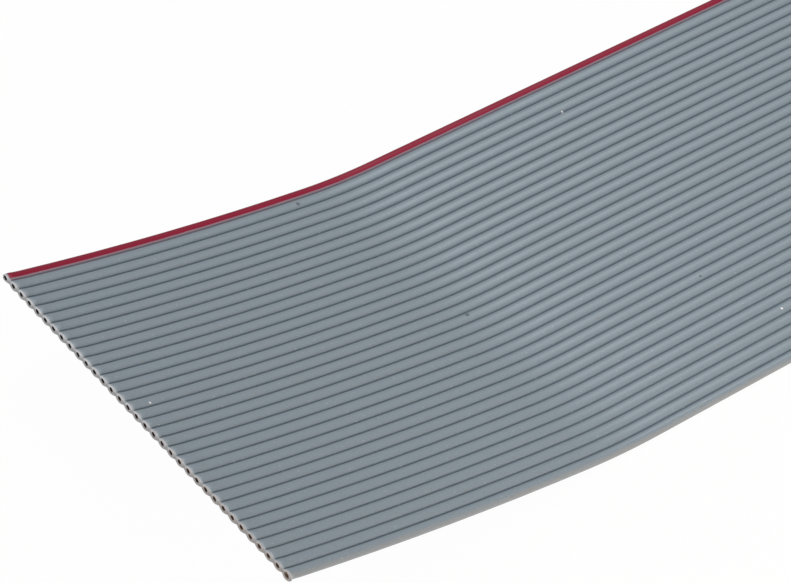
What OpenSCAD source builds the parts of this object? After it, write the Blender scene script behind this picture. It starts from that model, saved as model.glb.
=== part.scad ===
// Flat ribbon cable: one ribbed sheet of insulation with a row of stranded conductors inside.
// It lies on a flat surface and one cut end curls up a little.
// The length runs along X, the conductors lie side by side along Y and the cable rests on Z = 0.
// Conductor 1, the marked edge, is the one with the largest Y.

/* [Cable] */
// Number of conductors side by side
ways = 34; // [4:1:50]
// Distance from one conductor to the next
pitch = 1.27; // [1.24:0.01:2.54]
// Length along the cable from one cut end to the other
cable_len = 300; // [120:5:600]

/* [Insulation] */
// Width of the rib round each conductor
rib_w = 1.18; // [1.1:0.01:1.2]
// Thickness of the cable over its ribs
rib_t = 0.86; // [0.71:0.01:0.94]
// Radius of the low crown on the top and the bottom of each rib
crown_r = 1.6; // [1.4:0.1:4]
// Radius of the shoulders of each rib
shoulder_r = 0.3; // [0.2:0.01:0.3]
// Thickness of the web between two ribs
web_t = 0.3; // [0.16:0.01:0.5]

/* [Conductors] */
// Diameter of one strand
strand_d = 0.127; // [0.1:0.001:0.16]
// Gap between neighbouring strands
strand_gap = 0.003; // [0.002:0.001:0.01]
// Gap between the outer strands and their bore
bore_gap = 0.005; // [0.002:0.001:0.02]
// Distance from the cut face back to the longest strand
setback = 0.3; // [0:0.05:1]
// Further distance from each strand to the next shorter one
shear_step = 0.03; // [0:0.01:0.1]
// Turn of each bundle about its own middle, against its neighbour
bundle_turn = 17; // [0:1:60]

/* [Raised end] */
// Radius of the soft bend where the cable leaves the surface
bend_r = 55; // [30:5:120]
// Angle of the soft bend
bend_deg = 8.5; // [2:0.5:20]
// Radius of the slighter curve from there to the raised cut end
lift_r = 300; // [150:10:600]
// Angle of the slighter curve
lift_deg = 6.2; // [1:0.1:12]
// Radius of the last short curl, where the blade lifted the end
tip_r = 12; // [12:1:40]
// Angle of the last short curl
tip_deg = 8; // [8:1:16]

/* [Hidden] */
// Each bend as a radius and an angle, from the flat run towards the raised end
bends = [[bend_r, bend_deg], [lift_r, lift_deg], [tip_r, tip_deg]];
last = len(bends) - 1;
// Centre distance of the outer strands, and the bore that holds them all
strand_pitch = strand_d + strand_gap;
bore_d = 2 * strand_pitch + strand_d + 2 * bore_gap;
// Centres of a rib's shoulders, and where they meet its crown
shoulder_y = rib_w / 2 - shoulder_r;
shoulder_z = rib_t / 2 - crown_r + sqrt(pow(crown_r - shoulder_r, 2) - pow(shoulder_y, 2));
crown_y = shoulder_y * crown_r / (crown_r - shoulder_r);
flat_len = cable_len - bent_len(last);
// The raised end's lowest corner reaches furthest back
end_x = bend_centre(last).x - (bends[last][0] + rib_t / 2) * sin(turned(last + 1));
centre_x = (end_x + flat_len) / 2;

function conductor_name(i) = str("conductor_", i < 9 ? "0" : "", i + 1);
function conductor_y(i) = ((ways - 1) / 2 - i) * pitch;
// Angle turned before bend i, length of the bends up to i, and the middle of bend i as [x, height]
function turned(i) = i == 0 ? 0 : turned(i - 1) + bends[i - 1][1];
function bent_len(i) = i < 0 ? 0 : bent_len(i - 1) + bends[i][0] * bends[i][1] * PI / 180;
function bend_centre(i) = i == 0 ? [0, bends[0][0]]
  : bend_centre(i - 1) + (bends[i][0] - bends[i - 1][0]) * [sin(turned(i)), cos(turned(i))];

// Moves its children in three ever finer steps, so that no digit of the place is lost
// and the bends meet face to face
module place(to) {
  whole = [for (v = to) round(v)];
  fine = [for (v = to - whole) round(v * 1000) / 1000];
  translate(whole) translate(fine) translate(to - whole - fine) children();
}

// One bend of radius r about the middle of its circle, its angles counted from straight down
module bend(r, from, angle) {
  rotate([-90, 0, 0])
    rotate_extrude(start = 90 + from, angle = angle, $fn = 720)
      translate([r, 0]) children();
}

// Carries a section along the whole cable. The section's x points down and its y across.
// back is how far it stops behind both cut faces.
module along_cable(back = 0) {
  place([-centre_x, 0, rib_t / 2]) {
    rotate([0, 90, 0]) linear_extrude(flat_len - back) children();
    for (i = [0 : last]) {
      r = bends[i][0];
      cut = i == last ? back / r * 180 / PI : 0;
      place([bend_centre(i).x, 0, bend_centre(i).y])
        bend(r, turned(i), bends[i][1] - cut) children();
    }
  }
}

// Half of a rib, from its middle outwards: a crown above and below, a shoulder after each
module half_rib_section() {
  for (up = [-1, 1]) translate([up * shoulder_z, shoulder_y]) circle(r = shoulder_r, $fn = 64);
  translate([-shoulder_z, 0]) square([2 * shoulder_z, rib_w / 2]);
  intersection() {
    translate([crown_r - rib_t / 2, 0]) circle(r = crown_r, $fn = 256);
    translate([rib_t / 2 - crown_r, 0]) circle(r = crown_r, $fn = 256);
    translate([-rib_t / 2, 0]) square([rib_t, crown_y]);
  }
}

module insulation_section() {
  difference() {
    union() {
      for (i = [0 : ways - 1]) translate([0, conductor_y(i)]) {
        if (i > 0) half_rib_section();
        if (i < ways - 1) mirror([0, 1]) half_rib_section();
        // The cable's two edges are round
        if (i == 0 || i == ways - 1) circle(d = rib_t, $fn = 64);
      }
      square([web_t, (ways - 1) * pitch], center = true);
    }
    for (i = [0 : ways - 1]) translate([0, conductor_y(i)]) circle(d = bore_d, $fn = 32);
  }
}

module insulation() color([0.52, 0.57, 0.6]) along_cable() insulation_section();

// Six strands round a middle one, each cut off a little shorter than the one before
module conductor(i) color([0.72, 0.58, 0.5]) {
  for (s = [0 : 6])
    along_cable(setback + s * shear_step)
      translate([0, conductor_y(i)]) rotate(i * bundle_turn + s * 60)
        translate([s == 0 ? 0 : strand_pitch, 0]) circle(d = strand_d, $fn = 24);
}

insulation();
for (i = [0 : ways - 1]) conductor(i);
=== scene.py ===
# %% [markdown]
# # A flat ribbon cable
# The part is a short length of grey ribbon cable: 34 stranded conductors side by side in one sheet of
# soft plastic, with the first conductor marked by a red stripe. It lies flat, and one cut end curls up.
# This script dresses the packed CAD model. The CAD model is the fixed frame: it says where everything
# is, and the pieces made here are worked out from its boxes. Everything is in metres.

# %% Load the frame
import math

import bpy
import numpy as np
from mathutils import Matrix, Vector


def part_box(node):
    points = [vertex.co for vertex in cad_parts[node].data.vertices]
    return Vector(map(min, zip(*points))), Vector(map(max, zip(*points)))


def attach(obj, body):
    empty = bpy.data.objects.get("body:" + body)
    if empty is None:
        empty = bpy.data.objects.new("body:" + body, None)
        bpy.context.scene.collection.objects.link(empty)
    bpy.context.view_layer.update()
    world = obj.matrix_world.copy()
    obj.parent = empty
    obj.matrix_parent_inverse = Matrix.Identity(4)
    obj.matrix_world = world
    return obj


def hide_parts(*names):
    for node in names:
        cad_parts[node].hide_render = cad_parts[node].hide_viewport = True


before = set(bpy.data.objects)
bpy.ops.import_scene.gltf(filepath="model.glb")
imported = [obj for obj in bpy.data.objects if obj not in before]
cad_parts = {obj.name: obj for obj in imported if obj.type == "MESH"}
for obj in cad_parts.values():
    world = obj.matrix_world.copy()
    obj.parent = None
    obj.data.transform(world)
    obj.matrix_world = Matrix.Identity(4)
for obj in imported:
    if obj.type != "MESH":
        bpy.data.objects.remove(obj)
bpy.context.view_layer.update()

MM = 0.001
low_corner, high_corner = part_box("insulation")
conductors = sorted(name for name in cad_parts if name.startswith("conductor_"))
WAYS = len(conductors)
print("conductors:", WAYS, "cable box in mm:", [round(v / MM, 2) for v in high_corner - low_corner])

# %% [markdown]
# ## Where the cable runs
# The middle line of the cable is a straight flat run and three arcs that meet without a kink: a short
# soft bend, a longer and slighter one, and a last short curl where the blade lifted the end. It could
# be a Blender curve with a profile, but a curve twists its profile and gives no say in where the rings
# go. A formula gives the exact place and slope at any distance along the cable, so the insulation, the
# strands and the cord's points all follow one and the same line.

# %% The route
CABLE_LENGTH = 300 * MM
RIB_THICKNESS = 0.86 * MM
BENDS = (
    (55 * MM, math.radians(8.5)),
    (300 * MM, math.radians(6.2)),
    (12 * MM, math.radians(8)),
)
bend_starts = CABLE_LENGTH - np.cumsum([radius * turn for radius, turn in BENDS[::-1]])[::-1]
FLAT_RUN = bend_starts[0]


def route(s):
    """X and Z of the middle line and its climb in radians, s metres from the flat cut end."""
    s = np.asarray(s, float)
    along = np.minimum(s, FLAT_RUN)
    rise = 0 * s
    climb = 0 * s
    for start, (radius, turn) in zip(bend_starts, BENDS):
        before = climb
        climb = before + np.clip(s - start, 0, radius * turn) / radius
        along = along + radius * (np.sin(climb) - np.sin(before))
        rise = rise + radius * (np.cos(before) - np.cos(climb))
    return high_corner.x - along, RIB_THICKNESS / 2 + rise, climb


def place(s, across, height):
    """Points at distance s along the cable, across it, and at a height above its middle plane."""
    x, z, climb = route(s)
    return np.stack([x + height * np.sin(climb), across + 0 * x, z + height * np.cos(climb)], -1)


cut_x, cut_z, cut_climb = route(CABLE_LENGTH)
raised_cut = Vector((cut_x, 0, cut_z))
raised_way = Vector((-math.cos(cut_climb), 0, math.sin(cut_climb)))
print("raised cut end:", [round(v / MM, 2) for v in raised_cut], "mm")

# %% [markdown]
# ## The camera
# A long lens from about a third of a metre keeps the ribs nearly parallel. The camera looks at a
# place 33 mm in from the raised end, from 44 degrees above, with its horizon tipped a little.
# Its three axes are written out as vectors: that is plainer than a chain of rotations, and it shows
# which way "right" and "up" point.

# %% Camera
VIEW_TURN = math.radians(41.39)
VIEW_DROP = math.radians(44.49)
VIEW_ROLL = math.radians(5.25)
VIEW_DISTANCE = 321.1 * MM
LENS = 158.52
target = Vector((low_corner.x + 33.04 * MM, 6.11 * MM, RIB_THICKNESS / 2))

look = Vector((
    math.sin(VIEW_TURN) * math.cos(VIEW_DROP),
    math.cos(VIEW_TURN) * math.cos(VIEW_DROP),
    -math.sin(VIEW_DROP),
))
level = Vector((math.cos(VIEW_TURN), -math.sin(VIEW_TURN), 0))
upright = level.cross(look)
right = math.cos(VIEW_ROLL) * level + math.sin(VIEW_ROLL) * upright
up = math.cos(VIEW_ROLL) * upright - math.sin(VIEW_ROLL) * level

camera = bpy.data.objects.new("camera", bpy.data.cameras.new("camera"))
bpy.context.scene.collection.objects.link(camera)
camera.data.lens = LENS
camera.data.sensor_width = 36
camera.data.clip_start = 0.01
camera.data.clip_end = 20
camera.matrix_world = Matrix((right, up, -look)).transposed().to_4x4()
camera.location = target - VIEW_DISTANCE * look
bpy.context.scene.camera = camera
print("camera at", [round(v / MM) for v in camera.location], "mm")

# %% [markdown]
# ## The outline of the insulation
# Seen end on, each rib is nearly flat on top, with a low crown and a small round shoulder on each side,
# and a thin web joins it to the next. The cable's two outer edges are plain half circles. The
# extruder's die leaves a small round at the bottom of each groove, and it seems to sit a hair to one
# side of the pins that shape the bores, so the ribs drift towards the plain edge. The outline is drawn
# as one loop: along the top from the marked edge to the plain edge, and back along the bottom. Each
# bend in it is an arc with a few points, so the shape stays light enough for 34 ribs.

# %% Rib outline
RIB_WIDTH = 1.18 * MM
CROWN_RADIUS = 1.6 * MM
SHOULDER_RADIUS = 0.3 * MM
GROOVE_ROUND = 0.06 * MM
WEB_THICKNESS = 0.3 * MM
RIB_DRIFT = 0.08 * MM
PITCH = (high_corner.y - low_corner.y - RIB_THICKNESS) / (WAYS - 1)
CROWN_POINTS = 4
SHOULDER_POINTS = 8
GROOVE_POINTS = 4
EDGE_POINTS = 11


def rib_middle(i):
    """Across position of rib i, with rib 0 at the marked edge."""
    return ((WAYS - 1) / 2 - i) * PITCH


def arc(out, up, radius, first, last, count):
    """Points round the centre (out, up), with the angle counted from straight up and outwards."""
    angles = np.linspace(first, last, count)
    return [(out + radius * math.sin(a), up + radius * math.cos(a)) for a in angles]


def half_rib(at_edge):
    """Upper outline from the middle of a rib outwards, as (distance from the middle, height)."""
    if at_edge:
        return arc(0, 0, RIB_THICKNESS / 2, 0, math.pi / 2, EDGE_POINTS)
    shoulder_out = RIB_WIDTH / 2 - SHOULDER_RADIUS
    crown_up = RIB_THICKNESS / 2 - CROWN_RADIUS
    crown_turn = math.asin(shoulder_out / (CROWN_RADIUS - SHOULDER_RADIUS))
    shoulder_up = crown_up + (CROWN_RADIUS - SHOULDER_RADIUS) * math.cos(crown_turn)
    groove_up = WEB_THICKNESS / 2 + GROOVE_ROUND
    reach = SHOULDER_RADIUS + GROOVE_ROUND
    groove_turn = math.acos((groove_up - shoulder_up) / reach)
    groove_out = shoulder_out + reach * math.sin(groove_turn)
    crown = arc(0, crown_up, CROWN_RADIUS, 0, crown_turn, CROWN_POINTS)
    shoulder = arc(shoulder_out, shoulder_up, SHOULDER_RADIUS, crown_turn, groove_turn, SHOULDER_POINTS)
    groove = arc(groove_out, groove_up, -GROOVE_ROUND, groove_turn, 0, GROOVE_POINTS)
    return crown + shoulder[1:] + groove[1:] + [(PITCH / 2, WEB_THICKNESS / 2)]


def drift(across):
    """How far the die has moved the outline at a place: nothing at the cable's two outer edges."""
    inside = rib_middle(0) - np.abs(across)
    return -RIB_DRIFT * np.clip(inside / (PITCH / 2), 0, 1)


def outline():
    """The whole loop as an array of (across, height), and where each rib starts along its top."""
    top = []
    starts = []
    for i in range(WAYS):
        starts.append(len(top))
        top += [(rib_middle(i) + d, h) for d, h in reversed(half_rib(i == 0))]
        top += [(rib_middle(i) - d, h) for d, h in half_rib(i == WAYS - 1)[1:-1]]
    starts.append(len(top))
    top.append((rib_middle(WAYS - 1) - RIB_THICKNESS / 2, 0))
    bottom = [(across, -height) for across, height in reversed(top[1:-1])]
    plain = np.array(top + bottom)
    return plain + np.outer(drift(plain[:, 0]), (1, 0)), plain[:, 0], starts


loop, plain_across, rib_starts = outline()
print("outline points:", len(loop))

# %% [markdown]
# ## The insulation
# The outline is swept along the route on rings. Rings cost triangles, so they stand close together only
# where the cable bends and near the two cuts. Each bore is a separate sleeve of fewer rings, and a cap
# of triangles joins the sleeves to the outline at both ends, so the mesh is closed. A Solidify or
# Boolean modifier could make the bores, but it would leave uneven triangles just where the cable is
# looked at most.

# %% Rings along the cable
# Distances from the cut: the outline's at both ends, and those of the bores
RAISED_CUT_RINGS = MM * np.array([0, 0.01, 0.03, 0.06, 0.1, 0.16, 0.23, 0.31, 0.4, 0.52, 0.7, 0.95, 1.3])
FLAT_CUT_RINGS = MM * np.array([0, 0.03, 0.12, 0.25, 0.45, 0.8])
MOUTH_RINGS = MM * np.array([0, 0.05, 0.1, 0.16, 0.25, 0.6])
FLAT_RINGS = 4
SOFT_RINGS = 9
LIFT_RINGS = 9

soft_start, lift_start, curl_start = bend_starts
bent_places = np.concatenate([
    np.linspace(soft_start, lift_start, SOFT_RINGS),
    np.linspace(lift_start, curl_start, LIFT_RINGS),
])


def places(*parts):
    """The distances of some rings along the cable, in order and each of them once."""
    return np.unique(np.round(np.concatenate(parts), 9))


ring_places = places(
    FLAT_CUT_RINGS,
    np.linspace(FLAT_CUT_RINGS[-1], soft_start, FLAT_RINGS),
    bent_places,
    CABLE_LENGTH - RAISED_CUT_RINGS,
)
bore_places = places(MOUTH_RINGS, bent_places, CABLE_LENGTH - MOUTH_RINGS)
print("rings:", len(ring_places), "sleeve rings:", len(bore_places))

# %% [markdown]
# ## The pressed cut
# The cable was cut with a blade that pressed the soft plastic before it parted. At the cut the sheet is
# thinner than elsewhere, its grooves are shallower and each bore is a flat, slanted oval. The marked
# edge is pressed hardest. The plain edge, where the blade seems to have come out, is hardly pressed but
# has spread sideways, and the last bore is torn a little wider. Half a millimetre behind the cut hardly
# any of this is left. So there is a pressed outline beside the free one, with the same points, and each
# ring is a mix of the two. That is quicker and easier to steer than a sculpted or simulated squeeze.

# %% The pressed outline
# Heights of the pressed outline from its middle, and how far its two edges stand out from the middle
# of their ribs
PRESSED_TOP = 0.355 * MM
PRESSED_TOP_GROOVE = 0.18 * MM
PRESSED_BOTTOM = 0.365 * MM
PRESSED_BOTTOM_GROOVE = 0.175 * MM
PRESSED_FIRST_RIB = 0.31 * MM
PRESSED_LAST_RIB = 0.42 * MM
PRESSED_MARKED_EDGE = 0.41 * MM
PRESSED_PLAIN_EDGE = 0.68 * MM
# How far behind the cut the squeeze is still felt, on the ribs and at the bottom of the grooves
PRESS_REACH = 0.28 * MM
GROOVE_REACH = 0.18 * MM
CORNER_ROUND = 0.03 * MM
# Powers that bend the pressed outline from crest to groove
TOP_HOLLOW = 2
BOTTOM_HOLLOW = 1.6

ahead = np.roll(loop, -1, axis=0) - np.roll(loop, 1, axis=0)
outward = np.stack([ahead[:, 1], -ahead[:, 0]], -1)
outward = outward / np.linalg.norm(outward, axis=1)[:, None]

rib_number = np.clip(np.round((rib_middle(0) - plain_across) / PITCH), 0, WAYS - 1)
from_middle = plain_across - rib_middle(rib_number)
to_groove = np.abs(from_middle) / (PITCH / 2)
on_top = loop[:, 1] > 0
outer_ribs = [rib_number == 0, rib_number == WAYS - 1]
crest = np.select(outer_ribs, (PRESSED_FIRST_RIB, PRESSED_LAST_RIB), PRESSED_TOP)
belly = np.select(outer_ribs, (PRESSED_FIRST_RIB, PRESSED_LAST_RIB), PRESSED_BOTTOM)
pressed = loop.copy()
pressed[:, 1] = np.where(
    on_top,
    crest - (crest - PRESSED_TOP_GROOVE) * to_groove ** TOP_HOLLOW,
    (belly - PRESSED_BOTTOM_GROOVE) * to_groove ** BOTTOM_HOLLOW - belly,
)
edge = np.abs(loop[:, 0]) > rib_middle(0)
spread = np.where(loop[:, 0] > 0, PRESSED_MARKED_EDGE, PRESSED_PLAIN_EDGE) / (RIB_THICKNESS / 2)
pressed[edge, 0] += (from_middle * (spread - 1))[edge]
pressed[edge, 1] = (loop[:, 1] * crest / (RIB_THICKNESS / 2))[edge]
reach = PRESS_REACH + (GROOVE_REACH - PRESS_REACH) * on_top * to_groove ** TOP_HOLLOW


def section(s):
    """The outline as it is s metres along the cable."""
    from_cut = min(s, CABLE_LENGTH - s)
    press = np.exp(-((from_cut / reach) ** 2))
    corner = max(0, 1 - from_cut / CORNER_ROUND)
    rounding = CORNER_ROUND * (1 - math.sqrt(1 - corner ** 2))
    return loop + press[:, None] * (pressed - loop) - rounding * outward


print("pressed thickness, mm:", round((PRESSED_TOP + PRESSED_BOTTOM) / MM, 3))

# %% Pressed bores
BORE_RADIUS = 0.1985 * MM
BORE_POINTS = 16
MOUTH_WIDE = 0.265 * MM
MOUTH_HIGH = 0.143 * MM
MOUTH_SLANT = 0.2
TORN_MOUTH = 1.3
MOUTH_REACH = 0.14 * MM
around_bore = np.linspace(0, 2 * math.pi, BORE_POINTS, endpoint=False)


def bore(i, s):
    """The ring of bore i as it is s metres along the cable."""
    squeeze = math.exp(-((min(s, CABLE_LENGTH - s) / MOUTH_REACH) ** 2))
    torn = TORN_MOUTH if i == WAYS - 1 else 1
    wide = BORE_RADIUS + squeeze * (MOUTH_WIDE * torn - BORE_RADIUS)
    high = BORE_RADIUS + squeeze * (MOUTH_HIGH * torn - BORE_RADIUS)
    across = wide * np.cos(around_bore)
    height = high * np.sin(around_bore) + squeeze * MOUTH_SLANT * across
    return np.stack([rib_middle(i) + across, height], -1)


print("bore mouth, mm:", np.ptp(bore(0, 0), axis=0).round(6) / MM)

# %% [markdown]
# A cap has to join each rib's part of the outline to the round mouth of its bore, and the two loops
# have different numbers of points. The zipper below walks round both at once, and always takes the
# next point that comes first by its angle about the bore, so no triangle crosses another.


# %% Zipper for the cut faces
def zipper(outer, outer_points, inner, inner_points, middle):
    """Triangles between two loops of point numbers that turn the same way about middle."""
    outer_turn = np.unwrap(np.arctan2(*(outer_points - middle).T[::-1]))
    inner_turn = np.unwrap(np.arctan2(*(inner_points - middle).T[::-1]))
    start = int(np.argmin(np.abs(inner_turn - outer_turn[0])))
    inner = np.roll(inner, -start)
    inner_turn = np.concatenate([inner_turn[start:], inner_turn[:start] + 2 * math.pi])
    outer_turn = np.append(outer_turn, outer_turn[0] + 2 * math.pi)
    inner_turn = np.append(inner_turn, inner_turn[0] + 2 * math.pi)
    triangles = []
    i = 0
    j = 0
    while i < len(outer) or j < len(inner):
        here = outer[i % len(outer)]
        core = inner[j % len(inner)]
        inner_is_next = j < len(inner) and inner_turn[j + 1] < outer_turn[min(i + 1, len(outer))]
        if i == len(outer) or inner_is_next:
            j += 1
            triangles.append((here, inner[j % len(inner)], core))
        else:
            i += 1
            triangles.append((here, outer[i % len(outer)], core))
    return triangles


octagon = np.array([(math.cos(a), math.sin(a)) for a in np.arange(8) * math.pi / 4])
tried = zipper(np.arange(8), 2 * octagon, np.arange(4), octagon[::2], np.zeros(2))
print("zipper tried between 8 and 4 points:", len(tried), "triangles")

# %% [markdown]
# The mesh itself is then a long list: the rings of the outline, the rings of each sleeve, and a cap for
# each rib at both ends. Every face also gets a number for its finish, because the cut faces and the
# bores look different from the skin.

# %% Faces of a tube
OUTSIDE = 0
CUT_FACE = 1
BORE = 2


def tube_faces(first, rings, around, inside_out):
    """Quads of a tube whose rings of points follow each other from number first."""
    quads = []
    for k in range(rings - 1):
        a = first + k * around
        for j in range(around):
            after = (j + 1) % around
            quad = (a + j, a + after, a + after + around, a + j + around)
            quads.append(quad if inside_out else quad[::-1])
    return quads


print("faces of one sleeve:", len(tube_faces(0, len(bore_places), BORE_POINTS, True)))

# %% The insulation mesh
SHARP_FROM = math.radians(45)


def insulation_mesh():
    """Points, faces and the finish of each face."""
    around = len(loop)
    sections = [section(s) for s in ring_places]
    points = [place(s, shape[:, 0], shape[:, 1]) for s, shape in zip(ring_places, sections)]
    faces = tube_faces(0, len(ring_places), around, False)
    finishes = [OUTSIDE] * len(faces)
    count = len(ring_places) * around
    for i in range(WAYS):
        mouths = [bore(i, s) for s in bore_places]
        points += [place(s, mouth[:, 0], mouth[:, 1]) for s, mouth in zip(bore_places, mouths)]
        sleeve = tube_faces(count, len(bore_places), BORE_POINTS, True)
        faces += sleeve
        finishes += [BORE] * len(sleeve)
        first, last = rib_starts[i], rib_starts[i + 1]
        beneath = [(around - k) % around for k in range(last, first - 1, -1)]
        rib = np.array(list(dict.fromkeys([*range(first, last + 1), *beneath])))
        middle = np.array((rib_middle(i), 0))
        for end in (0, -1):
            rim = range(len(ring_places))[end] * around + rib
            core = count + range(len(bore_places))[end] * BORE_POINTS + np.arange(BORE_POINTS)
            cap = zipper(rim, sections[end][rib], core, mouths[end], middle)
            faces += [face if end == 0 else face[::-1] for face in cap]
            finishes += [CUT_FACE] * len(cap)
        count += len(bore_places) * BORE_POINTS
    return np.concatenate(points), faces, finishes


points, faces, finishes = insulation_mesh()
mesh = bpy.data.meshes.new("insulation_sheet")
mesh.from_pydata(points.tolist(), [], [tuple(int(v) for v in face) for face in faces])
mesh.polygons.foreach_set("use_smooth", [True] * len(faces))
mesh.set_sharp_from_angle(angle=SHARP_FROM)
mesh.polygons.foreach_set("material_index", finishes)
insulation = bpy.data.objects.new("insulation_sheet", mesh)
bpy.context.scene.collection.objects.link(insulation)
print("insulation:", len(points), "points,", sum(len(f) - 2 for f in faces), "triangles")

# %% [markdown]
# ## Writing materials as sums
# A material is a graph of nodes, and most of it is arithmetic. The small class below wraps one socket
# and overloads the operators, so a mask reads as the formula that it is. Each operator also has its
# reflected form, so 1 - mask works as well as mask - 1. The graph could be drawn by hand in the shader
# editor, but a formula is shorter, and it can be read and changed in one place.


# %% Sockets with operators
class Wire:
    """An output socket of a material's nodes. Arithmetic on it adds Math nodes."""

    def __init__(self, nodes, socket):
        self.nodes = nodes
        self.socket = socket

    def maths(self, operation, first, second):
        """The output of one Math node."""
        return self.nodes.node("ShaderNodeMath", {"operation": operation}, {0: first, 1: second})

    def __add__(self, other):
        return self.maths("ADD", self, other)

    def __radd__(self, other):
        return self.maths("ADD", other, self)

    def __sub__(self, other):
        return self.maths("SUBTRACT", self, other)

    def __rsub__(self, other):
        return self.maths("SUBTRACT", other, self)

    def __mul__(self, other):
        return self.maths("MULTIPLY", self, other)

    def __rmul__(self, other):
        return self.maths("MULTIPLY", other, self)

    def __truediv__(self, other):
        return self.maths("DIVIDE", self, other)

    def __rtruediv__(self, other):
        return self.maths("DIVIDE", other, self)

    def __lt__(self, other):
        return self.maths("LESS_THAN", self, other)

    def __gt__(self, other):
        """The reflected form of <."""
        return self.maths("GREATER_THAN", self, other)

    def least(self, other):
        """The smaller of the two."""
        return self.maths("MINIMUM", self, other)

    def most(self, other):
        """The larger of the two."""
        return self.maths("MAXIMUM", self, other)

    def whole(self):
        """The whole number below."""
        return self.maths("FLOOR", self, 0)

    def rise(self, low, high):
        """0 below low and 1 above high, with a smooth step between."""
        return self.nodes.node(
            "ShaderNodeMapRange",
            {"interpolation_type": "SMOOTHSTEP"},
            {"Value": self, "From Min": low, "From Max": high},
        )


print("methods of a socket:", [name for name in vars(Wire) if not name.startswith("__")])

# %% [markdown]
# Every other node comes from one method, Nodes.node: it takes the node's type, its settings, and the
# values or links of its inputs. Colours go through Mix nodes and vectors through Vector Math nodes,
# because a Math node would boil either of them down to one number, and turn a colour grey.

# %% Nodes of one material
# The colour inputs of a Mix node, by number, and its colour output
MIX_FIRST = 6
MIX_SECOND = 7
MIX_RESULT = 2


class Nodes:
    """The nodes of a material or a world."""

    def __init__(self, owner):
        owner.use_nodes = True
        self.owner = owner
        self.tree = owner.node_tree
        self.tree.nodes.clear()

    def node(self, kind, settings=None, inputs=None, out=0):
        """One node. Its settings come first, because some of them change which inputs there are."""
        made = self.tree.nodes.new(kind)
        for setting, value in (settings or {}).items():
            setattr(made, setting, value)
        for name, value in (inputs or {}).items():
            if isinstance(value, Wire):
                self.tree.links.new(value.socket, made.inputs[name])
            else:
                made.inputs[name].default_value = value
        return Wire(self, made.outputs[out]) if made.outputs else None

    def blend(self, share, first, second):
        """A colour between two colours."""
        colours = {0: share, MIX_FIRST: first, MIX_SECOND: second}
        return self.node("ShaderNodeMix", {"data_type": "RGBA"}, colours, out=MIX_RESULT)


print("methods that make nodes:", [name for name in vars(Nodes) if not name.startswith("__")])

# %% [markdown]
# The finishes of this cable share a few things: the place of a surface point, noise of a given grain,
# and the Principled shader. They are added to the same class of nodes. Their places are in millimetres,
# because the ribs and the cuts are measured in them.

# %% Places, noise and shaders
# How far one seed moves a noise, in grains along x, y and z
SEED_STEP = (17.3, 5.1, 9.7)


class Paint(Nodes):
    """The nodes of one finish."""

    def spot(self):
        """The place of a surface point in the frame, as a vector in millimetres."""
        place_out = self.node("ShaderNodeTexCoord", out="Object")
        return self.node("ShaderNodeVectorMath", {"operation": "SCALE"}, {0: place_out, "Scale": 1 / MM})

    def axis(self, vector, way):
        """How far a vector reaches along a direction."""
        return self.node(
            "ShaderNodeVectorMath", {"operation": "DOT_PRODUCT"}, {0: vector, 1: way}, out="Value"
        )

    def noise(self, vector, grain, detail=2.0, seed=0):
        """Smooth noise about 0.5, with its grain size in millimetres along x, y and z."""
        scaled = self.node(
            "ShaderNodeVectorMath",
            {"operation": "MULTIPLY_ADD"},
            {
                0: vector,
                1: tuple(1 / size for size in grain),
                2: tuple(seed * step for step in SEED_STEP),
            },
        )
        return self.node("ShaderNodeTexNoise", None, {"Vector": scaled, "Scale": 1.0, "Detail": detail})

    def principled(self, **inputs):
        """One Principled shader."""
        return self.node("ShaderNodeBsdfPrincipled", None, inputs)

    def finish(self, shader):
        """Puts a shader on the material's output."""
        self.node("ShaderNodeOutputMaterial", None, {"Surface": shader})
        return self.owner

    def surface(self, **inputs):
        """A material of one Principled shader."""
        return self.finish(self.principled(**inputs))


print("added for finishes:", [name for name in vars(Paint) if not name.startswith("__")])

# %% [markdown]
# Colours are easiest to choose as they look on a display, from 0 to 255. Shaders add up light, so they
# take linear values, and the display's own curve turns one into the other.


# %% Colours as written
def linear(value):
    """One channel of a display colour, 0 to 255, as the linear value that shaders use."""
    value = value / 255
    return value / 12.92 if value <= 0.04045 else ((value + 0.055) / 1.055) ** 2.4


def tone(red, green, blue):
    """A display colour as a linear colour."""
    return (linear(red), linear(green), linear(blue), 1.0)


print("a mid grey of 128 is", round(linear(128), 3), "in linear light")

# %% [markdown]
# ## The plastic
# Soft PVC has a dull satin face. Its colour is a cool grey that is never quite even: each rib came out
# of its own opening in the die, so ribs differ by a shade, and faint drag lines run along them. Close
# up it is full of fine pores. The plain edge is painted warmer, as painted warm light off a table, and
# a blade whitens the last fifth of a millimetre before each cut.
#
# The masks come from the place of a point in the frame: Y tells the rib, and the distance behind each
# cut plane is one dot product. A painted texture could hold all this, but it would need unwrapping
# first. A mask needs none, and it holds in every view.


# %% Masks along and across the cable
def cable_masks(paint):
    """Place, across, and the distance behind the nearer cut, all in millimetres."""
    spot = paint.spot()
    across = paint.axis(spot, (0, 1, 0))
    behind_raised = raised_cut.dot(raised_way) / MM - paint.axis(spot, tuple(raised_way))
    behind_flat = high_corner.x / MM - paint.axis(spot, (1, 0, 0))
    return spot, across, behind_raised.least(behind_flat)


def ribs_passed(across, shift):
    """How many ribs lie between the marked edge and a place, as a number with a fraction."""
    return ((rib_middle(0) + PITCH / 2 - shift) / MM - across) / (PITCH / MM)


print("the raised cut leans back", round(math.degrees(cut_climb), 1), "degrees")
print("the middle line is", round(ribs_passed(0, 0), 3), "ribs from the marked edge")

# %% Grey plastic
GREY = tone(132, 145, 155)
GREY_GREEN = tone(133, 145, 153)
STREAK_GREY = tone(117, 131, 142)
# This warm tint is painted warm light on the plain edge, as from light off a table
WARM_LIT_EDGE = tone(142, 135, 129)
# How strongly each of them tints the grey
RIB_TINT = 0.4
MOTTLE_TINT = 0.5
STREAK_TINT = 0.5
PORE_TINT = 0.35
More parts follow.
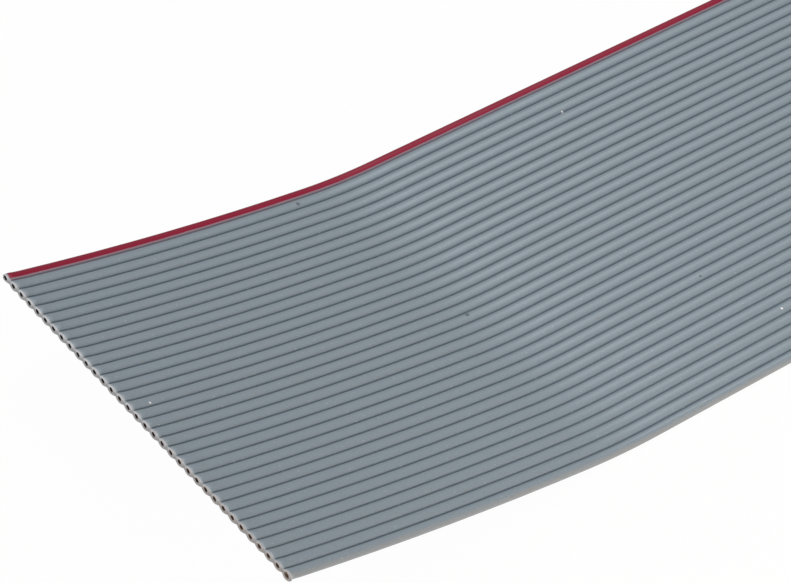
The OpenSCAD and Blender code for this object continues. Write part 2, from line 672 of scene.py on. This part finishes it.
# Where the noise of the pores begins to count, and where it counts fully
PORE_FADE = (0.42, 0.68)
# Where the painted warm light on the plain edge sets in, in millimetres outwards from the middle of the
# last rib
WARM_LIT_EDGE_FADE = (0.1, 0.4)


def grey_plastic(paint, spot, across):
    """The colour of the plain plastic, the drag lines in it, and its mottle."""
    rib_count = ribs_passed(across, RIB_DRIFT).whole()
    rib_shade = paint.node("ShaderNodeTexWhiteNoise", {"noise_dimensions": "1D"}, {"W": rib_count})
    streaks = paint.noise(spot, (14, 0.16, 0.5), detail=3.0, seed=1)
    mottle = paint.noise(spot, (4, 1.6, 2), seed=2)
    pores = paint.noise(spot, (0.2, 0.12, 0.12), seed=11)
    grey = paint.blend(rib_shade * RIB_TINT + mottle * MOTTLE_TINT, GREY, GREY_GREEN)
    grey = paint.blend((streaks - 0.5).most(0) * STREAK_TINT, grey, STREAK_GREY)
    grey = paint.blend(pores.rise(*PORE_FADE) * PORE_TINT, grey, STREAK_GREY)
    # Painted warm light on the plain edge, as from light off a table
    side = (across * -1 - rib_middle(0) / MM).rise(*WARM_LIT_EDGE_FADE)
    return paint.blend(side * (0.2 + mottle * 0.3), grey, WARM_LIT_EDGE), streaks, mottle


print("the main grey in linear light:", [round(v, 3) for v in GREY[:3]])

# %% [markdown]
# ## Dust and specks
# The cable isn't new: tiny pale specks of dust lie all over it, here and there a brown one, and a few
# larger spots. Small cells of a Voronoi texture each hold one speck, and a random share of the cells is
# kept. That gives a different place for each speck without a list of them. The few that the eye finds
# at once are listed one by one.

# %% Specks
PALE_SPECK = tone(190, 196, 200)
BROWN_SPECK = tone(150, 128, 96)
WHITE_SPECK = tone(250, 250, 248)
DARK_SPOT = tone(70, 78, 84)
# Cell size, the share of cells kept, and the radius and tint of a speck, in millimetres
DUST = (
    (1.1, 0.2, 0.07, PALE_SPECK),
    (2.3, 0.05, 0.1, BROWN_SPECK),
)
# Place along and across the cable, radius and tint of a larger spot, in millimetres
SPOTS = (
    ((-88.0, 16.5), 0.15, WHITE_SPECK),
    ((-88.5, -16.0), 0.15, WHITE_SPECK),
    ((-147.5, 1.5), 0.13, WHITE_SPECK),
    ((-118.0, 19.5), 0.26, DARK_SPOT),
    ((-113.5, -0.5), 0.26, DARK_SPOT),
    ((-92.0, -8.5), 0.15, DARK_SPOT),
)
# The share of its radius at which a speck or spot begins to fade, and how strongly it covers
DUST_CORE = 0.4
SPOT_CORE = 0.6
DUST_COVER = 0.55
SPOT_COVER = 0.9
# How far the rim of a speck is ragged, in millimetres
DUST_RAGGED = 0.06


def with_specks(paint, spot, plain):
    """A colour with dust scattered over it, and the few larger spots."""
    ragged = paint.noise(spot, (0.1, 0.1, 0.1), seed=10) - 0.5
    for cell, kept, size, dust in DUST:
        grid = paint.node("ShaderNodeVectorMath", {"operation": "SCALE"}, {0: spot, "Scale": 1 / cell})
        voronoi = ("ShaderNodeTexVoronoi", {"voronoi_dimensions": "2D"}, {"Vector": grid, "Scale": 1.0})
        away = paint.node(*voronoi, out="Distance") * cell + ragged * DUST_RAGGED
        chance = paint.axis(paint.node(*voronoi, out="Color"), (1, 0, 0))
        here = (1 - away.rise(size * DUST_CORE, size)) * (chance < kept)
        plain = paint.blend(here * DUST_COVER, plain, dust)
    for (x, y), size, tint in SPOTS:
        middle = {0: spot, 1: (x, y, 0)}
        gap = paint.node("ShaderNodeVectorMath", {"operation": "SUBTRACT"}, middle)
        gap = paint.node("ShaderNodeVectorMath", {"operation": "MULTIPLY"}, {0: gap, 1: (1, 1, 0)})
        away = paint.node("ShaderNodeVectorMath", {"operation": "LENGTH"}, {0: gap}, out="Value")
        here = 1 - (away + ragged * size).rise(size * SPOT_CORE, size)
        plain = paint.blend(here * SPOT_COVER, plain, tint)
    return plain


print("kinds of dust:", len(DUST), "larger spots:", len(SPOTS))

# %% [markdown]
# ## The marked edge
# The stripe is ink, rolled onto the edge of the sheet after extrusion. It covers the outer edge and
# most of the first rib's crown, and leaves a pinkish haze as far as the first groove. It is worn off
# the last tenth of a millimetre before the cut. The ink is duller than the plastic, so it has a
# shader of its own, and its mask mixes the two. A mask on the colour alone would be simpler, but it
# would leave the plastic's gloss on the ink and turn its red pale.

# %% Red ink
INK = tone(147, 11, 49)
# The darker red below is painted shade on the ink, where the stripe rounds over the outer edge
INK_EDGE_SHADE = tone(116, 22, 38)
INK_HAZE = tone(156, 128, 142)
# The stripe's edge, in millimetres outwards from the middle of the first rib, and how far it wanders
INK_EDGE = -0.44
INK_WANDER = 0.06
# Where ink, haze and the painted shade round the stripe's outer edge set in, in millimetres into the
# stripe
INK_FADE = (-0.09, 0.06)
HAZE_FADE = (-0.34, -0.08)
INK_EDGE_SHADE_FADE = (0.45, 0.85)
# Where the ink begins behind the cut, in millimetres, and how much further back for each one outwards
INK_BEGINS = (0.0, 0.12)
INK_SLANT = 0.15


def ink_masks(paint, spot, across, behind_cut):
    """How deep a point lies in the stripe, and how far ink and haze cover it."""
    wander = paint.noise(spot, (1.6, 30, 30), detail=3.0, seed=3) * INK_WANDER
    into_ink = across - (rib_middle(0) / MM + INK_EDGE) + wander
    begun = (behind_cut - into_ink * INK_SLANT).rise(*INK_BEGINS)
    return into_ink, into_ink.rise(*INK_FADE) * begun, into_ink.rise(*HAZE_FADE) * begun


print("the ink begins", round(rib_middle(0) / MM + INK_EDGE, 2), "mm from the middle line")

# %% Outer plastic
WHITENED = tone(196, 198, 200)
# Where the whitening at a cut ends, in millimetres behind it
WHITENED_FADE = (-0.1, 0.22)
GRAIN_DEPTH = 0.01 * MM
SKIN_ROUGHNESS = 0.34
SKIN_SPECULAR = 0.45
INK_ROUGHNESS = 0.3
INK_SPECULAR = 0.1


def plastic():
    """The finish of the skin: grey plastic with its specks, and the ink over it."""
    paint = Paint(bpy.data.materials.new("grey_pvc"))
    spot, across, behind_cut = cable_masks(paint)
    grey, streaks, mottle = grey_plastic(paint, spot, across)
    into_ink, cover, haze = ink_masks(paint, spot, across, behind_cut)
    hazed = paint.blend(haze * 0.8, grey, INK_HAZE)
    whitening = 1 - behind_cut.rise(*WHITENED_FADE)
    grain = paint.noise(spot, (0.25, 0.06, 0.06), seed=4)
    relief = {"Strength": 0.25, "Distance": GRAIN_DEPTH, "Height": grain + streaks}
    bump = paint.node("ShaderNodeBump", None, relief)
    bare = paint.principled(**{
        "Base Color": with_specks(paint, spot, paint.blend(whitening * 0.8, hazed, WHITENED)),
        "Roughness": SKIN_ROUGHNESS + mottle * 0.08,
        "Specular IOR Level": SKIN_SPECULAR,
        "Normal": bump,
    })
    # The ink turns darker towards the outer edge, as painted shade
    inked = paint.principled(**{
        "Base Color": paint.blend(into_ink.rise(*INK_EDGE_SHADE_FADE), INK, INK_EDGE_SHADE),
        "Roughness": INK_ROUGHNESS + mottle * 0.1,
        "Specular IOR Level": INK_SPECULAR,
        "Normal": bump,
    })
    return paint.finish(paint.node("ShaderNodeMixShader", None, {0: cover, 1: bare, 2: inked}))


skin = plastic()
print(skin.name, "has", len(skin.node_tree.nodes), "nodes")

# %% [markdown]
# ## The cut faces and the bores
# Freshly cut PVC is paler and rougher than its skin, and paler still at the top of each face, where the
# blade whitened it. Towards the bottom of each face and in the necks between the ribs the colour is
# darker, as painted shade, and towards the plain edge it is warmer, as painted warm light off a table.
# The wall of a bore is painted dark, as painted shade inside the bore, and browner towards the plain
# edge, as painted warm light over a faint stain. These are finishes of their own, given to the mesh face
# by face, because a mask by distance would blur the sharp rims.

# %% Cut faces
# The first colour is painted shade towards the bottom of a cut face, the second the whitened plastic at
# its top
CUT_SHADED_BOTTOM = tone(150, 151, 153)
CUT_PALE_TOP = tone(204, 206, 210)
CUT_WARM_LIGHT = tone(150, 138, 128)
CUT_ROUGH = tone(128, 126, 124)
CUT_NECK_SHADE = tone(128, 127, 128)
# Where the painted shade at the bottom of a face gives way to its pale top, in millimetres up from the
# cable's middle plane
BOTTOM_SHADE_FADE = (-0.05, 0.22)
# Where the painted warm light sets in, in millimetres from the cable's middle line towards the plain edge
WARM_LIGHT_FADE = (-12, 20)
# Where the painted shade in a rib's neck begins and is at its darkest, in pitches from the middle of the
# rib
NECK_SHADE_FADE = (0.3, 0.48)
# Where the noise of the roughness begins to darken, and where it darkens fully
ROUGH_FADE = (0.45, 0.7)
CUT_DEPTH = 0.02 * MM
CUT_ROUGHNESS = 0.6


def cut_plastic():
    """The finish of the cut faces."""
    paint = Paint(bpy.data.materials.new("cut_pvc"))
    spot = paint.spot()
    across = paint.axis(spot, (0, 1, 0))
    up_the_cut = Vector((math.sin(cut_climb), 0, math.cos(cut_climb)))
    height = paint.axis(spot, tuple(up_the_cut)) - raised_cut.dot(up_the_cut) / MM
    height = height.least(paint.axis(spot, (0, 0, 1)) - RIB_THICKNESS / 2 / MM)
    passed = ribs_passed(across, 0)
    along_rib = passed - passed.whole()
    neck_shade = (along_rib - 0.5).most(0.5 - along_rib).rise(*NECK_SHADE_FADE)
    rough = paint.noise(spot, (0.12, 0.12, 0.12), detail=4.0, seed=5)
    drag = paint.noise(spot, (0.5, 0.05, 0.5), seed=6)
    # Painted shade towards the bottom of each cut face, pale whitened plastic at its top
    shaded_to_pale = paint.blend(height.rise(*BOTTOM_SHADE_FADE), CUT_SHADED_BOTTOM, CUT_PALE_TOP)
    # Painted warm light towards the plain edge, with the drag noise in it
    warm_light_and_drag = (across * -1).rise(*WARM_LIGHT_FADE) * 0.5 + (drag - 0.5) * 0.6
    face = paint.blend(warm_light_and_drag, shaded_to_pale, CUT_WARM_LIGHT)
    face = paint.blend(rough.rise(*ROUGH_FADE) * 0.5, face, CUT_ROUGH)
    # Painted shade in the necks between the ribs
    face = paint.blend(neck_shade * 0.45, face, CUT_NECK_SHADE)
    relief = {"Strength": 0.5, "Distance": CUT_DEPTH, "Height": rough + drag}
    bump = paint.node("ShaderNodeBump", None, relief)
    return paint.surface(**{"Base Color": face, "Roughness": CUT_ROUGHNESS + rough * 0.2, "Normal": bump})


cut_face = cut_plastic()
print(cut_face.name, "has", len(cut_face.node_tree.nodes), "nodes")

# %% Bore walls
# The dark wall colour is painted shade inside the bores
BORE_SHADE = tone(42, 38, 36)
BORE_WARM_LIGHT = tone(146, 124, 110)
# Where painted warm light browns a wall, in millimetres from the cable's middle line towards the plain
# edge
BORE_WARM_FADE = (-10, 22)
BORE_ROUGHNESS = 0.6


def bore_plastic():
    """The finish of the walls of the bores."""
    paint = Paint(bpy.data.materials.new("bore_pvc"))
    spot = paint.spot()
    stain = paint.noise(spot, (0.3, 0.08, 0.08), seed=7)
    # Painted warm light towards the plain edge, over a faint stain
    warm_light_and_stain = paint.axis(spot, (0, -1, 0)).rise(*BORE_WARM_FADE) * 0.8 + stain * 0.2
    wall = paint.blend(warm_light_and_stain, BORE_SHADE, BORE_WARM_LIGHT)
    return paint.surface(**{"Base Color": wall, "Roughness": BORE_ROUGHNESS + stain * 0.1})


for plastic_finish in (skin, cut_face, bore_plastic()):
    mesh.materials.append(plastic_finish)
print("plastic finishes:", [m.name for m in mesh.materials])

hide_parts("insulation")
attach(insulation, "root")

# %% [markdown]
# ## The cord
# The cable is a free flat cord: its width stands for its diameter, both of its ends are bare, and it
# lies as it fell. Its path is the middle line itself, from the flat end to the raised one.

CORD_POINTS = 31
cord_points = place(np.linspace(0, CABLE_LENGTH, CORD_POINTS), 0, 0)
print("cord from", cord_points[0], "to", cord_points[-1])

# %% [markdown]
# ## The strands
# Each conductor is seven tinned strands: one straight in the middle and six laid round it in a long
# twist. A curve with a bevel would give round tubes, but no shared rings, so neighbours would cut into
# each other where their chords differ. Here all seven share the same rings, which keeps the strands
# just clear of each other, and the shear has left each one a little shorter than the last.

# %% Strand meshes
STRAND_RADIUS = 0.0635 * MM
STRAND_PITCH = 0.13 * MM
STRAND_SIDES = 6
LAY = 15 * MM
RINGS_PER_TURN = 8
CURL_RINGS = 5
SETBACK = 0.3 * MM
SHEAR_STEP = 0.03 * MM
BUNDLE_TURN = math.radians(17)
STRANDS = 7
TIN = 0
CUT_METAL = 1
strand_places = places(
    np.linspace(0, curl_start, round(curl_start / LAY * RINGS_PER_TURN)),
    np.linspace(curl_start, CABLE_LENGTH, CURL_RINGS),
)


def strand(i, number):
    """Points, faces and finishes of a strand of conductor i. Number 0 is the one in the middle."""
    back = SETBACK + number * SHEAR_STEP
    stations = np.clip(strand_places, back, CABLE_LENGTH - back)
    around = np.linspace(0, 2 * math.pi, STRAND_SIDES, endpoint=False)
    rings = []
    for along in stations:
        turn = i * BUNDLE_TURN + number * math.pi / 3 + 2 * math.pi * along / LAY
        out = 0 if number == 0 else STRAND_PITCH
        across = rib_middle(i) + out * math.cos(turn) + STRAND_RADIUS * np.cos(around + turn)
        height = out * math.sin(turn) + STRAND_RADIUS * np.sin(around + turn)
        rings.append(place(along, across, height))
    sides = tube_faces(0, len(stations), STRAND_SIDES, False)
    last = (len(stations) - 1) * STRAND_SIDES
    ends = [tuple(range(STRAND_SIDES)), tuple(range(last + STRAND_SIDES - 1, last - 1, -1))]
    return np.concatenate(rings), sides + ends, [TIN] * len(sides) + [CUT_METAL] * len(ends)


print("rings along a strand:", len(strand_places))

# %% [markdown]
# ## Tin and copper
# The strands are copper with a thin coat of tin, which wears through to copper in places. Where the
# blade sheared them the copper is bare and dragged. Both are metals, so their colour is that of their
# reflection, and Metallic is plainly 1.

# %% Metal finishes
TIN_GREY = (0.62, 0.55, 0.47, 1.0)
WORN_COPPER = (0.66, 0.36, 0.22, 1.0)
BRIGHT_COPPER = (0.72, 0.38, 0.24, 1.0)
DRAGGED_COPPER = (0.5, 0.24, 0.15, 1.0)
# Where the noise of the wear begins to show copper, and where it shows it fully
WORN_FADE = (0.45, 0.75)


def tinned():
    """The finish of a strand's tinned side."""
    paint = Paint(bpy.data.materials.new("tinned_copper"))
    worn = paint.noise(paint.spot(), (0.6, 0.05, 0.05), detail=3.0, seed=8)
    metal = paint.blend(worn.rise(*WORN_FADE), TIN_GREY, WORN_COPPER)
    return paint.surface(**{"Base Color": metal, "Metallic": 1.0, "Roughness": 0.3 + worn * 0.2})


def sheared():
    """The finish of a strand's cut ends."""
    paint = Paint(bpy.data.materials.new("sheared_copper"))
    drag = paint.noise(paint.spot(), (0.02, 0.02, 0.2), seed=9)
    metal = paint.blend(drag, BRIGHT_COPPER, DRAGGED_COPPER)
    return paint.surface(**{"Base Color": metal, "Metallic": 1.0, "Roughness": 0.35 + drag * 0.2})


metal_finishes = [tinned(), sheared()]
print("metal finishes:", [m.name for m in metal_finishes])

# %% [markdown]
# ## One bundle for each conductor
# The seven strands of a conductor are joined in one mesh, because they are one conductor, but they stay
# seven closed tubes that nowhere touch. A loop makes all 34 bundles, so they can't differ by accident.

# %% Lay the bundles in their bores
SHARP_STRAND_FROM = math.radians(65)
for i, name in enumerate(conductors):
    parts = [strand(i, number) for number in range(STRANDS)]
    offsets = np.cumsum([0] + [len(part[0]) for part in parts])
    bundle = bpy.data.meshes.new(name.replace("conductor", "strands"))
    bundle.from_pydata(
        np.concatenate([part[0] for part in parts]).tolist(),
        [],
        [tuple(v + offset for v in face) for part, offset in zip(parts, offsets) for face in part[1]],
    )
    bundle.polygons.foreach_set("use_smooth", [True] * len(bundle.polygons))
    bundle.set_sharp_from_angle(angle=SHARP_STRAND_FROM)
    for metal_finish in metal_finishes:
        bundle.materials.append(metal_finish)
    bundle.polygons.foreach_set("material_index", sum((part[2] for part in parts), []))
    piece = bpy.data.objects.new(bundle.name, bundle)
    bpy.context.scene.collection.objects.link(piece)
    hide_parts(name)
    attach(piece, "root")
print("strand triangles:", WAYS * sum(len(face.vertices) - 2 for face in bundle.polygons))

# %% [markdown]
# ## The floor
# The cable lies on a plain white sheet. The sheet is a real floor, so it holds the cable's soft contact
# shadow, and to the camera it glows, so that away from the cable it is plain white. Rays that reach the
# eye by way of gloss or glass see the same white. A shadow catcher could hold the shadow as well, but
# then the white would have to be laid under the picture afterwards.

# %% White that the camera sees
WHITE = (1.0, 1.0, 1.0, 1.0)
FLOOR_GLOW = 0.97
FLOOR_HALF = 3.0


def seen(nodes):
    """1 for rays that reach the eye, straight or by gloss or glass, and 0 for those that carry light."""
    rays = "ShaderNodeLightPath"
    straight = nodes.node(rays, out="Is Camera Ray")
    glossy = nodes.node(rays, out="Is Glossy Ray")
    return straight.most(glossy).most(nodes.node(rays, out="Is Transmission Ray"))


print("share of white that the floor shows to the eye:", FLOOR_GLOW)

# %% Floor
SHEET_WHITE = (0.92, 0.9, 0.87, 1.0)
corners = [(-FLOOR_HALF, -FLOOR_HALF, 0), (FLOOR_HALF, -FLOOR_HALF, 0)]
corners += [(FLOOR_HALF, FLOOR_HALF, 0), (-FLOOR_HALF, FLOOR_HALF, 0)]
floor_mesh = bpy.data.meshes.new("floor")
floor_mesh.from_pydata(corners, [], [(0, 1, 2, 3)])
floor = bpy.data.objects.new("floor", floor_mesh)
bpy.context.scene.collection.objects.link(floor)

sheet = Paint(bpy.data.materials.new("white_sheet"))
cast = sheet.node("ShaderNodeBsdfDiffuse", None, {"Color": SHEET_WHITE})
glow = sheet.node("ShaderNodeEmission", None, {"Color": WHITE, "Strength": 1.0})
white = sheet.node("ShaderNodeMixShader", None, {0: seen(sheet) * FLOOR_GLOW, 1: cast, 2: glow})
floor_mesh.materials.append(sheet.finish(white))
print("floor:", 2 * FLOOR_HALF, "m square")

# %% [markdown]
# ## The light
# The world lights the cable weakly and evenly. The broad key lamp stands low beyond the raised end, so
# it lights the cut faces. A smaller lamp stands where a mirror on the flat run would show it, and puts
# a faint sheen there. Two small warm ones stand low beside the plain edge and warm it, as light off a
# table does. A table is broad and dull, so these two leave no mirror image in the gloss. One picture of
# a whole studio could light it all at once, but lamps can be moved and dimmed one at a time.

# %% World
ROOM_LEVEL = 0.25
room = Nodes(bpy.data.worlds.new("white_room"))
even = room.node("ShaderNodeBackground", None, {"Color": WHITE, "Strength": ROOM_LEVEL})
backdrop = room.node("ShaderNodeBackground", None, {"Color": WHITE, "Strength": 1.0})
both = room.node("ShaderNodeMixShader", None, {0: seen(room), 1: even, 2: backdrop})
room.node("ShaderNodeOutputWorld", None, {"Surface": both})
bpy.context.scene.world = room.owner
bpy.context.scene.view_settings.view_transform = "Standard"
print("light from all around:", ROOM_LEVEL)


# %% Lamps
def lamp(name, away, aim, size, power, tint, mirrored=True):
    """A square soft lamp, away from the place that it aims at. Sizes are in metres, power in watts."""
    light = bpy.data.lights.new(name, "AREA")
    light.size = size
    light.energy = power
    light.color = tint
    thing = bpy.data.objects.new(name, light)
    bpy.context.scene.collection.objects.link(thing)
    thing.location = aim + away
    thing.rotation_mode = "QUATERNION"
    thing.rotation_quaternion = (-away).to_track_quat("-Z", "Y")
    thing.visible_camera = False
    thing.visible_glossy = mirrored
    print(name, [round(v) for v in thing.location / MM], "mm")


def toward(turn, lift):
    """The way to a lamp, from its compass turn (0 is +Y, 90 is +X) and its height in degrees."""
    turn = math.radians(turn)
    lift = math.radians(lift)
    return Vector((math.sin(turn) * math.cos(lift), math.cos(turn) * math.cos(lift), math.sin(lift)))


# What the lamps aim at: the flat run just before the bend, and the plain edge a little further in
bend_spot = Vector((high_corner.x - FLAT_RUN + 5 * MM, 0, 0))
near_spot = bend_spot + Vector((16 * MM, low_corner.y, 0))
lamp(
    "key_lamp", 1.5 * toward(-90, 28), bend_spot,
    size=0.8, power=13.0, tint=(1.0, 0.985, 0.985),
)
lamp(
    "sheen_lamp", 0.9 * toward(41.4, 48.5), bend_spot,
    size=0.25, power=2.0, tint=(0.93, 1.0, 1.04),
)
lamp(
    "warm_fill", 0.128 * toward(-170.5, 18.2), near_spot,
    size=0.06, power=0.1, tint=(1.0, 0.93, 0.85), mirrored=False,
)
lamp(
    "table_glow", 0.14 * toward(150, 5), near_spot,
    size=0.02, power=0.05, tint=(1.0, 0.68, 0.44), mirrored=False,
)

# %% [markdown]
